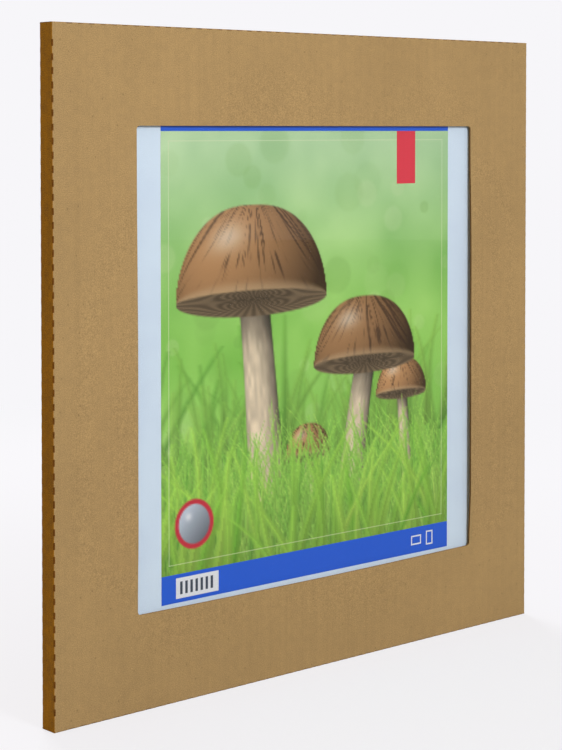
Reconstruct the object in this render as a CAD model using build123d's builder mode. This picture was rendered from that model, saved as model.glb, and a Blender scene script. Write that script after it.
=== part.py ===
"""Clip frame in its windowed carton, in millimetres.

+Z is up and the window faces -Y. The origin lies on the floor under the middle.
"""
import os

from build123d import *

os.makedirs("parts", exist_ok=True)

# Sheets of the clip frame, from the front to the back
frame_size = 500.0
glazing_thickness = 1.2
label_thickness = 0.3
sheet_thickness = 0.2
board_thickness = 3.0
label_width = 312.0
label_height = 380.0
label_rise = 11.9

# Carton blank
carton_board = 1.6
window_margin = 73.0
window_radius = 3.0
flap_depth = 73.0
flap_corner = 6.0
slit_length = 5.0
slit_pitch = 10.0
slit_depth = 1.0

# Clearances between the frame and the carton, and inside the carton's own folds
front_gap = 1.3
rear_space = 6.4
side_clearance = 3.4
base_gap = 0.7
fold_gap = 0.15
corner_gap = 0.3
flap_relief = 2.0

# Spring clips
clip_gauge = 0.6
clip_width = 18.0
clip_spacing = 250.0
lip_reach = 3.2
lip_width = 13.0
web_gap = 0.2
arch_rise = 1.2
arch_length = 18.0
hook_reach = 27.0
hook_depth = 1.7
hook_width = 8.0
hook_seat_gap = 0.3
bend_radius = 0.9
shoulder_radius = 2.0
lip_radius = 2.0
eye_radius = 3.0
eye_reach = 9.5
bead_spacing = 12.0
bead_length = 13.0
bead_width = 2.4
bead_height = 0.4
slot_end_gap = 1.0
slot_outer_gap = 0.6
slot_inner_gap = 0.3

# Sizes that follow
stack = glazing_thickness + label_thickness + sheet_thickness + board_thickness
carton_size = frame_size + 2 * side_clearance + 2 * carton_board
carton_depth = 2 * carton_board + front_gap + stack + rear_space
window_size = carton_size - 2 * window_margin
carton_middle = carton_size / 2
frame_base = carton_board + base_gap + clip_gauge + web_gap
frame_middle = frame_base + frame_size / 2
front_y = -carton_depth / 2
back_y = carton_depth / 2
glazing_y = front_y + carton_board + front_gap
label_y = glazing_y + glazing_thickness
sheet_y = label_y + label_thickness
board_y = sheet_y + sheet_thickness

# Each side of the square: the way to the middle, and the way along the side
backward = Vector(0, 1, 0)
sides = {
    "top": (Vector(0, 0, -1), Vector(1, 0, 0)),
    "left": (Vector(1, 0, 0), Vector(0, 0, 1)),
    "bottom": (Vector(0, 0, 1), Vector(-1, 0, 0)),
    "right": (Vector(-1, 0, 0), Vector(0, 0, -1)),
}

# Each clip: its side, and which way it lies from the middle of that side
clip_seats = {
    "clip_top_left": ("top", -1),
    "clip_top_right": ("top", 1),
    "clip_right_upper": ("right", -1),
    "clip_right_lower": ("right", 1),
    "clip_bottom_right": ("bottom", -1),
    "clip_bottom_left": ("bottom", 1),
    "clip_left_lower": ("left", -1),
    "clip_left_upper": ("left", 1),
}


def front_plane(y, height):
    """A plane seen from the front at depth y, X to the right and Y up, facing backward."""
    return Plane(origin=(0, y, height), x_dir=(-1, 0, 0), z_dir=(0, 1, 0))


def edge_point(side, half, height, y, along=0.0):
    """A point on one side of a square that is centred at the given height."""
    inward, along_side = sides[side]
    return Vector(0, y, height) - inward * half + along_side * along


def section_plane(side, half, height, y, along=0.0):
    """Cross-section of a side: X runs inward, Y runs backward, and the normal runs along it."""
    inward, along_side = sides[side]
    return Plane(origin=edge_point(side, half, height, y, along), x_dir=inward, z_dir=along_side)


def outline_plane(side, half, height, y, along=0.0):
    """Outline of a side seen from behind: X runs along it, Y runs inward."""
    return Plane(
        origin=edge_point(side, half, height, y, along), x_dir=sides[side][1], z_dir=backward
    )


# Front panel: mitred on all four folds, with the window cut out
with BuildPart() as front_panel:
    with BuildSketch(front_plane(front_y, carton_middle)):
        Rectangle(carton_size, carton_size)
    extrude(amount=carton_board, taper=45)
    with BuildSketch(front_plane(front_y, carton_middle)):
        RectangleRounded(window_size, window_size, window_radius)
    extrude(amount=carton_board, mode=Mode.SUBTRACT)
front_panel.part.label = "carton_front_panel"
export_step(front_panel.part, "parts/carton_front_panel.step")


def make_wall(side):
    """A narrow wall, mitred all round, with slits along both of its creases."""
    inward, along_side = sides[side]
    outer = Plane(
        origin=edge_point(side, carton_size / 2, carton_middle, 0), x_dir=along_side, z_dir=inward
    )
    length = carton_size - 2 * corner_gap
    width = carton_depth - 2 * fold_gap
    slits = int((length - slit_pitch) / slit_pitch)
    with BuildPart() as wall:
        with BuildSketch(outer):
            Rectangle(length, width)
        extrude(amount=carton_board, taper=45)
        with BuildSketch(outer):
            with GridLocations(slit_pitch, width, slits, 2):
                Rectangle(slit_length, 2 * slit_depth)
        extrude(amount=carton_board, mode=Mode.SUBTRACT)
    return wall.part


def make_flap(side):
    """A back flap: mitred along its crease, with ends cut at 45 degrees."""
    half = carton_size / 2
    reach = half - flap_relief
    with BuildPart() as flap:
        with BuildSketch(section_plane(side, half, carton_middle, back_y)):
            with BuildLine():
                Polyline(
                    (fold_gap, 0),
                    (flap_depth, 0),
                    (flap_depth, -carton_board),
                    (carton_board + fold_gap, -carton_board),
                    close=True,
                )
            make_face()
        extrude(amount=half, both=True)
        with BuildSketch(outline_plane(side, half, carton_middle, back_y - carton_board)):
            with BuildLine():
                Polyline(
                    (-reach, 0),
                    (reach, 0),
                    (reach - flap_depth, flap_depth),
                    (flap_depth - reach, flap_depth),
                    close=True,
                )
            make_face()
        extrude(amount=carton_board, mode=Mode.INTERSECT)
        free_side = flap.edges().filter_by(Axis.Y).group_by(
            lambda edge: round((edge @ 0.5 - Vector(0, 0, carton_middle)).dot(sides[side][0]), 3)
        )[-1]
        fillet(free_side, radius=flap_corner)
    return flap.part


# Walls and back flaps of the carton, each named for its side
for side in sides:
    wall_part = make_wall(side)
    wall_part.label = f"carton_{side}_wall"
    export_step(wall_part, f"parts/carton_{side}_wall.step")
    flap_part = make_flap(side)
    flap_part.label = f"carton_{side}_flap"
    export_step(flap_part, f"parts/carton_{side}_flap.step")

# Clear acrylic glazing
with BuildPart() as glazing:
    with BuildSketch(front_plane(glazing_y, frame_middle)):
        Rectangle(frame_size, frame_size)
    extrude(amount=glazing_thickness)
glazing.part.label = "acrylic_glazing"
export_step(glazing.part, "parts/acrylic_glazing.step")

# Printed insert that shows through the window
with BuildPart() as label:
    with BuildSketch(front_plane(label_y, frame_middle + label_rise)):
        Rectangle(label_width, label_height)
    extrude(amount=label_thickness)
label.part.label = "label_insert"
export_step(label.part, "parts/label_insert.step")

# White mount sheet behind the insert
with BuildPart() as sheet:
    with BuildSketch(front_plane(sheet_y, frame_middle)):
        Rectangle(frame_size, frame_size)
    extrude(amount=sheet_thickness)
sheet.part.label = "mount_sheet"
export_step(sheet.part, "parts/mount_sheet.step")

# Hardboard back with one slot for each clip's hook
slot_width = clip_gauge + slot_outer_gap + slot_inner_gap
slot_middle = hook_reach - slot_outer_gap + slot_width / 2
with BuildPart() as board:
    with BuildSketch(front_plane(board_y, frame_middle)):
        Rectangle(frame_size, frame_size)
    extrude(amount=board_thickness)
    for side, end in clip_seats.values():
        seat = outline_plane(side, frame_size / 2, frame_middle, board_y, end * clip_spacing / 2)
        with BuildSketch(seat):
            with Locations((0, slot_middle)):
                Rectangle(hook_width + 2 * slot_end_gap, slot_width)
        extrude(amount=board_thickness, mode=Mode.SUBTRACT)
board.part.label = "backing_board"
export_step(board.part, "parts/backing_board.step")


def make_clip(side, end):
    """A spring clip: lip on the glazing, web over the edge, arched arm and a hook in the slot."""
    half = frame_size / 2
    along = end * clip_spacing / 2
    arch = stack + arch_rise
    section = section_plane(side, half, frame_middle, glazing_y, along)
    front = outline_plane(side, half, frame_middle, glazing_y - clip_gauge, along)
    rear = outline_plane(side, half, frame_middle, glazing_y + arch + clip_gauge, along)
    with BuildPart() as clip:
        # Bent strip
        with BuildSketch(section):
            with BuildLine():
                strip = FilletPolyline(
                    (lip_reach, 0),
                    (-web_gap, 0),
                    (-web_gap, arch),
                    (arch_length, arch),
                    (hook_reach, stack + hook_seat_gap),
                    (hook_reach, stack - hook_depth),
                    radius=[clip_gauge / 4, bend_radius, 3 * bend_radius, bend_radius / 2],
                )
                offset(strip, amount=clip_gauge, side=Side.RIGHT, closed=True)
            make_face()
        extrude(amount=clip_width / 2, both=True)
        # Outline of the strip: wide over the edge, narrow at the hook
        with BuildSketch(front) as arm:
            with BuildLine():
                Polyline(
                    (-clip_width / 2, -web_gap - 2 * clip_gauge),
                    (clip_width / 2, -web_gap - 2 * clip_gauge),
                    (clip_width / 2, arch_length),
                    (hook_width / 2, hook_reach - hook_width / 4),
                    (hook_width / 2, hook_reach + 2 * clip_gauge),
                    (-hook_width / 2, hook_reach + 2 * clip_gauge),
                    (-hook_width / 2, hook_reach - hook_width / 4),
                    (-clip_width / 2, arch_length),
                    close=True,
                )
            make_face()
            fillet(arm.vertices().filter_by(lambda v: 0 < v.Y < hook_reach), shoulder_radius)
        extrude(amount=2 * clip_gauge + arch, mode=Mode.INTERSECT)
        # The lip in front is narrower than the web, with round corners
        with BuildSketch(front):
            Rectangle(2 * clip_width, 2 * (lip_reach + clip_gauge))
            RectangleRounded(lip_width, 2 * lip_reach, lip_radius, mode=Mode.SUBTRACT)
        extrude(amount=clip_gauge, mode=Mode.SUBTRACT)
        # Two stiffening beads along the arch
        with BuildSketch(rear):
            with Locations((0, eye_reach)):
                with GridLocations(bead_spacing, 0, 2, 1):
                    SlotOverall(bead_length, bead_width, rotation=90)
        extrude(amount=bead_height, taper=30)
        # Hanging eye in the arch
        with BuildSketch(rear):
            with Locations((0, eye_reach)):
                Circle(eye_radius)
        extrude(amount=-clip_gauge, mode=Mode.SUBTRACT)
    return clip.part


# Eight clips, two on each side
for name, (side, end) in clip_seats.items():
    clip_part = make_clip(side, end)
    clip_part.label = name
    export_step(clip_part, f"parts/{name}.step")
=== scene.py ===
"""Clip frame in its windowed carton: the looks, laid out as an add-on and run as a script."""
import math

import bmesh
import bpy
import numpy as np
from bpy.props import FloatProperty, FloatVectorProperty, IntProperty, PointerProperty
from bpy.types import Operator, Panel, PropertyGroup
from mathutils import Matrix, Vector


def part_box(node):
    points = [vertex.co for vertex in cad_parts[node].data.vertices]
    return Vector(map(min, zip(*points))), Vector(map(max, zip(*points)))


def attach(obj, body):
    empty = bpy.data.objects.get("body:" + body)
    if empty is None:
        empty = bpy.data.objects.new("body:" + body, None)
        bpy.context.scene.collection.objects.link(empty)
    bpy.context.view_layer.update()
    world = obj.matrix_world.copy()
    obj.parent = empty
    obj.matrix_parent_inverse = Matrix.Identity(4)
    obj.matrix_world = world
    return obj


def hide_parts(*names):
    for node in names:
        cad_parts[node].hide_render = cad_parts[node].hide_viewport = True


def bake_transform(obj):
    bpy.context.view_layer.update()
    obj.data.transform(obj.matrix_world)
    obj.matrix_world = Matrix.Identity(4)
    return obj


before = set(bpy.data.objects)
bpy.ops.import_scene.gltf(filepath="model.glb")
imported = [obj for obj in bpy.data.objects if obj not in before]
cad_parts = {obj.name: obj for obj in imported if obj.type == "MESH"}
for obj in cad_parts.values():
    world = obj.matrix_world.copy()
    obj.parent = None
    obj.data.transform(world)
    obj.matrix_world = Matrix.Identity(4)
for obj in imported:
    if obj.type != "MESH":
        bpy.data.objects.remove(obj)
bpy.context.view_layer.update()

bl_info = {
    "name": "Clip frame in a windowed carton",
    "version": (1, 0, 0),
    "blender": (4, 5, 0),
    "location": "3D View > Sidebar > Clip frame",
    "description": "Builds the looks of a clip frame that is packed in a windowed carton",
    "category": "Object",
}

MM = 0.001
ROOT = "packed_frame"

# Faces of the carton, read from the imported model
panel_low, panel_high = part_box("carton_front_panel")
flap_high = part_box("carton_bottom_flap")[1]
CARTON = panel_high.x - panel_low.x
HALF = CARTON / 2
BOARD = panel_high.y - panel_low.y
FRONT = panel_low.y
BACK = flap_high.y
MIDDLE = (panel_low.z + panel_high.z) / 2
FLAP_DEPTH = flap_high.z

# How far the inner papers and the flutes of the board stand back from folds and cut edges
END_SETBACK = 1.1 * BOARD
FOLD_SETBACK = 1.15 * BOARD
FLUTE_SETBACK = 0.9 * BOARD
CUT_SETBACK = 0.25 * MM

# Material slots of a board, and those of a crease
OUTER, CUT, INNER = range(3)
FACE, WALL, SLIT, INSIDE = range(4)

# Each side of the carton: the way to the middle, and the way along the side
SIDES = {
    "top": (Vector((0, 0, -1)), Vector((1, 0, 0))),
    "left": (Vector((1, 0, 0)), Vector((0, 0, 1))),
    "bottom": (Vector((0, 0, 1)), Vector((-1, 0, 0))),
    "right": (Vector((-1, 0, 0)), Vector((0, 0, -1))),
}
UPRIGHT_SIDES = ("left", "right")
CLIPS = [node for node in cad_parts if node.startswith("clip_")]


# Settings

def linear(shades):
    """Display values from 0 to 255 as the linear values that shaders take."""
    share = np.asarray(shades, float) / 255
    return np.where(share <= 0.04045, share / 12.92, ((share + 0.055) / 1.055) ** 2.4)


def display(values):
    """Linear values as display values from 0 to 255."""
    values = np.asarray(values, float)
    curve = 1.055 * np.maximum(values, 1e-9) ** (1 / 2.4) - 0.055
    return 255 * np.where(values <= 0.0031308, values * 12.92, curve)


def length(name, description, millimetres):
    """A length property whose default is given in millimetres."""
    return FloatProperty(
        name=name, description=description, default=millimetres * MM, unit="LENGTH", precision=5
    )


def number(name, description, default, unit="NONE"):
    """A property for a plain number, a power or a size of the camera."""
    return FloatProperty(name=name, description=description, default=default, unit=unit)


def position(name, description, metres):
    """A property for a place in the scene."""
    return FloatVectorProperty(
        name=name, description=description, default=metres, subtype="TRANSLATION", unit="LENGTH"
    )


def colour(name, description, red, green, blue):
    """A colour property whose default is given in display values from 0 to 255."""
    return FloatVectorProperty(
        name=name, description=description, default=tuple(linear((red, green, blue))),
        subtype="COLOR", size=3, min=0, max=1,
    )


class CartonSettings(PropertyGroup):
    """Board, folds and window of the carton."""

    liner: length("Liner", "Thickness of each outer paper of the board", 0.3)
    medium: length("Medium", "Thickness of the fluted paper inside the board", 0.2)
    flute_pitch: length("Flute pitch", "Distance from one flute to the next", 3.4)
    window_left: length("Left margin", "From the left edge of the carton to the window", 75.2)
    window_right: length("Right margin", "From the right edge of the carton to the window", 73.4)
    window_bottom: length("Bottom margin", "From the lower edge of the carton to the window", 72.5)
    window_top: length("Top margin", "From the upper edge of the carton to the window", 73.9)
    window_radius: length("Window radius", "Radius of the window's corners", 3)
    fold_radius: length("Fold radius", "Outer radius of the folds", 1)
    slit_length: length("Slit length", "Length of each slit along a crease", 5)
    slit_pitch: length("Slit pitch", "Distance from one slit to the next", 10)
    flap_relief: length("Flap relief", "How far each flap's ends stand back at the crease", 2)
    flap_corner: length("Flap corner", "Radius of the flaps' free corners", 6)
    bow: length("Bow", "How far the panel stands forward beside the window", 1.8)
    sag: length("Sag", "How far the window's lower edge hangs down in the middle", 1.1)
    face_kraft: colour("Face kraft", "Outer paper of the front panel and the flaps", 176, 145, 97)
    # The narrow walls' kraft is darker and more saturated than the face's: painted shade of walls
    # that turn away from the lamp in front
    wall_kraft: colour("Wall kraft", "Outer paper of the narrow walls", 165, 115, 24)
    inner_kraft: colour("Inner kraft", "Inner paper of the carton", 170, 136, 92)
    # Cut edges and flutes are brown pulp, darkened further with painted shade of edges and hollows
    # that turn from the lamps
    cut_kraft: colour("Cut kraft", "Cut edges and flutes of the board", 98, 66, 37)
    # Slits show crushed brown pulp, darkened further with painted shade of their recess; the
    # upright creases' slits are darker still
    slit_kraft: colour("Slit kraft", "Crushed paper in the slits of upright creases", 118, 74, 24)
    level_slit_kraft: colour(
        "Level slit kraft", "Crushed paper in the slits of level creases", 146, 112, 66
    )


class PrintSettings(PropertyGroup):
    """Sheet and picture of the printed insert."""

    cell_width: length("Cell width", "Width of the picture's cells", 1.3)
    cell_height: length("Cell height", "Height of the picture's cells", 1.05)
    slip_right: length("Slip right", "How far the sheet has slipped to the right", 1.3)
    slip_down: length("Slip down", "How far the sheet has slipped down", 0.3)
    band: length("Band", "Height of the plain band at the bottom", 21.7)
    top_band: length("Top band", "Height of the plain band at the top", 22.6)
    border_inset: length("Border inset", "From the edge of the sheet to the thin border", 7)
    border_width: length("Border width", "Width of the thin border", 0.8)
    blades: IntProperty(name="Blades", description="Blades of grass in the picture", default=900)
    seed: IntProperty(name="Seed", description="Seed of the picture's random draws", default=11)
    band_blue: colour("Band blue", "Plain bands", 45, 101, 226)
    tab_red: colour("Tab red", "Bare tab and badge", 232, 62, 78)
    sky_green: colour("Far green", "Soft background at the top of the picture", 197, 230, 182)
    leaf_green: colour("Leaf green", "Background in the middle of the picture", 148, 212, 96)
    grass_green: colour("Grass green", "Blades in the foreground", 158, 217, 92)
    cap_brown: colour("Cap brown", "Caps of the mushrooms", 168, 127, 86)


class FrameSettings(PropertyGroup):
    """Sheets and clips of the frame."""

    pane_bevel: length("Pane bevel", "Broken edge of the glazing", 0.15)
    pane_tint: colour("Pane tint", "Clear glazing", 253, 254, 255)
    sheet_white: colour("Sheet white", "Mount sheet", 221, 238, 255)
    hardboard_brown: colour("Hardboard brown", "Back of the frame", 128, 88, 55)
    steel_grey: colour("Steel grey", "Spring clips", 205, 206, 208)


class StageSettings(PropertyGroup):
    """Camera, lamps and floor."""

    camera_place: position("Camera place", "Where the camera stands", (-1.0392, -1.1306, 0.4331))
    camera_aim: position("Camera aim", "Point that the camera looks at", (-0.032, -0.0078, 0.3869))
    sensor: number("Sensor", "Longer side of the camera's sensor", 36, "CAMERA")
    focal_length: number("Focal length", "Lens of the camera", 91.81, "CAMERA")
    shift: FloatVectorProperty(
        name="Shift", description="Shift of the frame beside the lens axis", size=2,
        default=(-0.0067, -0.2489),
    )
    key_place: position("Key place", "Soft lamp in front at the left", (-0.22, -1.95, 1.0))
    key_size: length("Key size", "Width of the lamp in front", 500)
    key_power: number("Key power", "Power of the lamp in front", 25, "POWER")
    back_place: position("Back place", "Soft lamp behind at the right", (0.9, 2.2, 1.5))
    back_size: length("Back size", "Width of the lamp behind", 1200)
    back_power: number("Back power", "Power of the lamp behind", 52, "POWER")
    side_place: position("Side place", "Weak lamp at the left, high up", (-0.75, 0.05, 0.75))
    side_size: length("Side size", "Width of the lamp at the left", 300)
    side_power: number("Side power", "Power of the lamp at the left", 0.4, "POWER")
    lamp_tint: colour("Lamp tint", "Tint of the lamps", 250, 251, 255)
    ambient: number("Ambient", "Light from all around", 0.46)
    bounce: colour("Bounce", "Warm light that comes from the left", 255, 208, 120)
    background: colour("Background", "Floor and background", 247, 246, 249)


def settings(group):
    """One of the property groups of the scene."""
    return getattr(bpy.context.scene, "clip_frame_" + group)


# Node trees and materials

class Wiring:
    """Adds nodes to a shader or geometry tree and links them."""

    def __init__(self, tree):
        self.tree = tree

    def feed(self, socket, value):
        """Sets a socket to a value, or links it to an output."""
        if isinstance(value, bpy.types.NodeSocket):
            self.tree.links.new(value, socket)
        elif socket.type == "RGBA" and len(value) == 3:
            socket.default_value = (*value, 1)
        else:
            socket.default_value = value

    def add(self, kind, feeds=(), **options):
        """The outputs of a new node, after its options are set and its sockets are fed."""
        node = self.tree.nodes.new(kind)
        for option, value in options.items():
            setattr(node, option, value)
        for socket, value in dict(feeds).items():
            self.feed(node.inputs[socket], value)
        return node.outputs

    def math(self, operation, first, second=0.0):
        """Arithmetic on two values or outputs."""
        return self.add("ShaderNodeMath", {0: first, 1: second}, operation=operation)[0]

    def split(self, vector):
        """The X, Y and Z of a vector."""
        return self.add("ShaderNodeSeparateXYZ", {0: vector})

    def vector(self, x=0.0, y=0.0, z=0.0):
        """A vector from three values or outputs."""
        return self.add("ShaderNodeCombineXYZ", {0: x, 1: y, 2: z})[0]

    def remap(self, value, span, new_span=(0.0, 1.0)):
        """A value moved smoothly from one range to another."""
        feeds = enumerate((value, *span, *new_span))
        return self.add("ShaderNodeMapRange", feeds, interpolation_type="SMOOTHSTEP")["Result"]

    def mix(self, share, first, second):
        """A colour between two colours, which are sockets 6 and 7 of the node."""
        return self.add("ShaderNodeMix", {0: share, 6: first, 7: second}, data_type="RGBA")[2]

    def choice(self, share, first, second):
        """A shader between two shaders, linked to the tree's output."""
        mixed = self.add("ShaderNodeMixShader", {0: share, 1: first, 2: second})[0]
        ends = [end for end in self.tree.nodes if end.bl_idname.startswith("ShaderNodeOutput")]
        self.feed(ends[0].inputs["Surface"], mixed)

    def sights(self):
        """Whether a ray is the camera's own, and whether it comes by way of metal or glass."""
        path = self.add("ShaderNodeLightPath")
        by_glass = self.math("MAXIMUM", path["Is Glossy Ray"], path["Is Transmission Ray"])
        return path["Is Camera Ray"], by_glass


class Finish(Wiring):
    """A node material that is built up step by step on Object coordinates."""

    def __init__(self, name):
        self.material = bpy.data.materials.new(name)
        self.material.use_nodes = True
        super().__init__(self.material.node_tree)
        self.shader = self.tree.nodes["Principled BSDF"]
        self.place = self.add("ShaderNodeTexCoord")["Object"]

    def pattern(self, kind, scale, stretch, **feeds):
        """A random pattern with so many features in a metre, stretched along the axes."""
        place = self.add("ShaderNodeMapping", {"Vector": self.place, "Scale": stretch})["Vector"]
        return self.add(kind, {"Vector": place, "Scale": scale, **feeds})

    def noise(self, scale, detail=2, stretch=(1, 1, 1)):
        """Soft random values from 0 to 1."""
        return self.pattern("ShaderNodeTexNoise", scale, stretch, Detail=detail)["Fac"]

    def spots(self, scale, size, share, stretch=(1, 1, 1)):
        """Small flecks in a share of the cells of a random pattern."""
        cells = self.pattern("ShaderNodeTexVoronoi", scale, stretch)
        draw = self.add("ShaderNodeSeparateColor", {0: cells["Color"]})[0]
        chosen = self.math("LESS_THAN", draw, share)
        near = self.remap(cells["Distance"], (0.5 * size, size), (1.0, 0.0))
        return self.math("MULTIPLY", near, chosen)

    def ripple(self, axis, pitch):
        """A sine wave from -1 to 1 along one axis of Object coordinates."""
        turns = self.math("MULTIPLY", self.split(self.place)[axis], 2 * math.pi / pitch)
        return self.math("SINE", turns)

    def sum(self, *parts):
        """The sum of outputs, each given with its weight."""
        total = 0.0
        for output, weight in parts:
            total = self.math("ADD", self.math("MULTIPLY", output, weight), total)
        return total

    def toned(self, value, span, tone, shares):
        """A tone from a darker to a lighter share of itself, over a range of a value."""
        dark, light = shares
        return self.mix(self.remap(value, span), shaded(tone, dark), shaded(tone, light))

    def flecked(self, base, flecks, strength, tone):
        """A colour with flecks of a tone laid over it."""
        return self.mix(self.math("MULTIPLY", flecks, strength), base, tone)

    def set(self, **inputs):
        """Sets the shader's own sockets, with spaces in their names as underscores."""
        for name, value in inputs.items():
            self.feed(self.shader.inputs[name.replace("_", " ")], value)

    def bump(self, height, strength, distance):
        """Relief from a height, on the shader's normal."""
        feeds = {"Strength": strength, "Distance": distance, "Height": height}
        self.set(Normal=self.add("ShaderNodeBump", feeds)["Normal"])


def shaded(tone, share):
    """A colour made darker or lighter by a share."""
    return tuple(min(1.0, channel * share) for channel in tone)


def kraft_finish(name, tone, across, contrast, mottling):
    """Kraft paper: soft clouds, fine grain, a few flecks, and faint lines along the flutes."""
    finish = Finish(name)
    ripple = finish.ripple(across, settings("carton").flute_pitch)
    clouds = finish.noise(scale=9)
    mottle = finish.noise(scale=190, detail=3)
    grain = finish.noise(scale=1400)
    lines = finish.noise(scale=330, stretch=(1, 1, 0.012))
    # The weights of the four noises add up to 2, and each noise is 0.5 on average
    graining = 1.6 - mottling
    mixture = finish.sum(
        (clouds, 0.25), (mottle, mottling), (grain, graining), (lines, 0.15), (ripple, 0.005)
    )
    share = finish.math("SUBTRACT", mixture, 0.5)
    base = finish.mix(share, shaded(tone, 1 - contrast), shaded(tone, 1 + contrast))
    dark = finish.spots(scale=140, size=0.12, share=0.6, stretch=(1, 1, 0.8))
    base = finish.flecked(base, dark, 0.42, shaded(tone, 0.4))
    pale = finish.spots(scale=140, size=0.08, share=0.3, stretch=(0.8, 0.8, 1))
    base = finish.flecked(base, pale, 0.5, shaded(tone, 1.5))
    rough = finish.remap(mottle, (0.2, 0.8), (0.78, 0.95))
    finish.set(Base_Color=base, Roughness=rough, Specular_IOR_Level=0.22)
    relief = finish.sum((ripple, 0.12), (lines, 0.2), (grain, 0.6), (mottle, 0.6))
    finish.bump(relief, strength=0.3, distance=0.06 * MM)
    return finish.material


def cut_finish(name, tone):
    """Cut edges of board and crushed paper in slits: matt brown pulp with pale torn fibres, in
    tones darkened with painted shade.
    """
    finish = Finish(name)
    pulp = finish.noise(scale=900, detail=4)
    fibres = finish.spots(scale=700, size=0.35, share=0.4, stretch=(1, 1, 0.5))
    base = finish.toned(pulp, (0.3, 0.7), tone, (0.65, 1.2))
    base = finish.flecked(base, fibres, 0.5, shaded(tone, 1.9))
    finish.set(Base_Color=base, Roughness=0.95, Specular_IOR_Level=0.1)
    finish.bump(pulp, strength=0.6, distance=0.15 * MM)
    return finish.material


def paper_finish(name, tone):
    """Smooth white paper with a faint cloud and grain."""
    finish = Finish(name)
    clouds = finish.noise(scale=25, detail=3)
    grain = finish.noise(scale=1500, detail=3)
    base = finish.toned(clouds, (0.3, 0.7), tone, (0.97, 1.02))
    base = finish.mix(finish.remap(grain, (0.3, 0.8), (0.0, 0.25)), base, shaded(tone, 0.94))
    rough = finish.remap(grain, (0.2, 0.8), (0.62, 0.8))
    finish.set(Base_Color=base, Roughness=rough, Specular_IOR_Level=0.2)
    finish.bump(grain, strength=0.15, distance=0.02 * MM)
    return finish.material


def print_finish(name):
    """Coated paper that shows the ink attribute, with a faint print grain."""
    finish = Finish(name)
    ink = finish.add("ShaderNodeAttribute", attribute_name="ink")["Color"]
    dark_ink = (0.05, 0.06, 0.05)
    grain = finish.noise(scale=2200)
    base = finish.mix(finish.remap(grain, (0.35, 0.75), (0.0, 0.08)), ink, dark_ink)
    rough = finish.remap(grain, (0.2, 0.8), (0.38, 0.5))
    finish.set(Base_Color=base, Roughness=rough, Specular_IOR_Level=0.1)
    finish.bump(grain, strength=0.08, distance=0.01 * MM)
    return finish.material


def pane_finish(name, tone):
    """Clear acrylic that lets lamps through to the sheets behind it."""
    finish = Finish(name)
    wipe = finish.noise(scale=30, stretch=(1, 1, 0.4))
    rough = finish.remap(wipe, (0.3, 0.8), (0.0, 0.03))
    finish.set(
        Base_Color=tone, Roughness=rough, Transmission_Weight=1.0, IOR=1.49,
        Specular_IOR_Level=0.25,
    )
    path = finish.add("ShaderNodeLightPath")
    through = finish.math("MAXIMUM", path["Is Shadow Ray"], path["Is Diffuse Ray"])
    clear = finish.add("ShaderNodeBsdfTransparent")[0]
    finish.choice(through, finish.shader.outputs[0], clear)
    return finish.material


def hardboard_finish(name, tone):
    """Pressed wood fibre with the print of the press screen."""
    finish = Finish(name)
    screen = 1.4 * MM
    fibres = finish.noise(scale=420, detail=4)
    clouds = finish.noise(scale=16, detail=3)
    chips = finish.spots(scale=180, size=0.3, share=0.35, stretch=(1, 1, 0.4))
    base = finish.toned(fibres, (0.3, 0.7), tone, (0.72, 1.22))
    base = finish.mix(finish.remap(clouds, (0.35, 0.7), (0.0, 0.4)), base, shaded(tone, 0.7))
    base = finish.flecked(base, chips, 0.4, shaded(tone, 1.5))
    weave = finish.math("MULTIPLY", finish.ripple("X", screen), finish.ripple("Z", screen))
    finish.set(Base_Color=base, Roughness=finish.remap(fibres, (0.2, 0.8), (0.6, 0.85)))
    finish.bump(finish.math("ADD", weave, fibres), strength=0.5, distance=0.12 * MM)
    return finish.material


def steel_finish(name, tone):
    """Bright spring strip with fine rolling lines and a few dull patches."""
    finish = Finish(name)
    lines = finish.noise(scale=1600, stretch=(1, 1, 0.08))
    dull = finish.noise(scale=140, detail=3)
    base = finish.mix(finish.remap(dull, (0.4, 0.7), (0.0, 0.5)), tone, shaded(tone, 0.72))
    patches = finish.remap(dull, (0.3, 0.8), (0.22, 0.4))
    rough = finish.math("ADD", patches, finish.math("MULTIPLY", lines, 0.1))
    finish.set(Base_Color=base, Metallic=1.0, Roughness=rough)
    finish.bump(lines, strength=0.12, distance=0.02 * MM)
    return finish.material


# Meshes

def new_object(name, data):
    """An object in the scene for a mesh, a lamp or a camera."""
    piece = bpy.data.objects.new(name, data)
    bpy.context.scene.collection.objects.link(piece)
    return piece


def new_mesh(name, points, faces):
    """A mesh from an array of points and a list of faces."""
    mesh = bpy.data.meshes.new(name)
    mesh.from_pydata(points.tolist(), [], faces)
    return mesh


def plain_mesh(carrier):
    """The evaluated mesh of a carrier object, which is then removed."""
    depsgraph = bpy.context.evaluated_depsgraph_get()
    mesh = bpy.data.meshes.new_from_object(carrier.evaluated_get(depsgraph))
    bpy.data.objects.remove(carrier)
    return mesh


def written(shape, mesh):
    """A mesh that takes over an edited shape."""
    shape.to_mesh(mesh)
    shape.free()
    return mesh


def grid_faces(rows, columns):
    """Quads by row and column on a grid of points, and the points round its rim."""
    index = np.arange(rows * columns).reshape(rows, columns)
    quads = np.stack((index[:-1, :-1], index[1:, :-1], index[1:, 1:], index[:-1, 1:]), axis=-1)
    rim = np.concatenate((index[0, :-1], index[:-1, -1], index[-1, :0:-1], index[:0:-1, 0]))
    return quads, rim


def sheet_mesh(points, kept=None):
    """An open sheet of quads on a grid of points, facing the way of negative depth."""
    quads = grid_faces(*points.shape[:2])[0]
    quads = quads.reshape(-1, 4) if kept is None else quads[kept]
    used, faces = np.unique(quads, return_inverse=True)
    return new_mesh("sheet", points.reshape(-1, 3)[used], faces.reshape(-1, 4).tolist())


def dress_mesh(mesh, materials, slot=0):
    """Gives a mesh its materials, and all of its faces one of them."""
    mesh.materials.clear()
    for material in materials:
        mesh.materials.append(material)
    mesh.polygons.foreach_set("material_index", np.full(len(mesh.polygons), slot, np.int32))


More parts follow.
